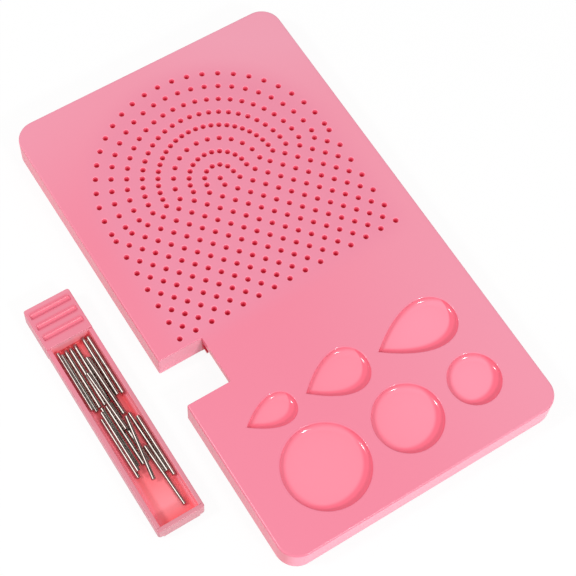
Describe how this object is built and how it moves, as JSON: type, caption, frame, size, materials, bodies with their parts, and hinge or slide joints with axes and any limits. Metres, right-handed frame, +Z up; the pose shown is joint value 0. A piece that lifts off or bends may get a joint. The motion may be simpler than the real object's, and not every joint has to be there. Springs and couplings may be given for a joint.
{
  "type": "quilling board",
  "caption": "Pink plastic quilling board with pin holes in rings and rows, round and teardrop shaping pockets, and a slide-in drawer of loose steel pins lying beside it.",
  "frame": {"origin": "middle of the board's underside, on the surface that the board and the drawer lie on", "axes": "+Z up, +Y along the board from the shaping pockets to the ring of pin holes, +X across the board away from the drawer"},
  "size_m": [0.1256, 0.1696, 0.01],
  "materials": {
    "pink_plastic": "satin",
    "drawer_plastic": "satin",
    "pin_steel": "polished"
  },
  "bodies": {
    "board": {"board": "pink_plastic"},
    "drawer": {"pin_drawer": "drawer_plastic"},
    "pins": {"pin_01": "pin_steel", "pin_02": "pin_steel", "pin_03": "pin_steel", "pin_04": "pin_steel", "pin_05": "pin_steel", "pin_06": "pin_steel", "pin_07": "pin_steel", "pin_08": "pin_steel", "pin_09": "pin_steel", "pin_10": "pin_steel", "pin_11": "pin_steel", "pin_12": "pin_steel", "pin_13": "pin_steel", "pin_14": "pin_steel", "pin_15": "pin_steel", "pin_16": "pin_steel", "pin_17": "pin_steel", "pin_18": "pin_steel", "pin_19": "pin_steel"}
  },
  "joints": [
    {"name": "drawer_turn", "type": "hinge", "parent": "board", "child": "drawer", "pos_m": [-0.08275, -0.03295, 0], "axis": [0, 0, 1], "range_deg": [0, 90]},
    {"name": "pins_lift", "type": "slide", "parent": "drawer", "child": "pins", "axis": [0, 0, 1], "range_m": [0, 0.03]}
  ]
}
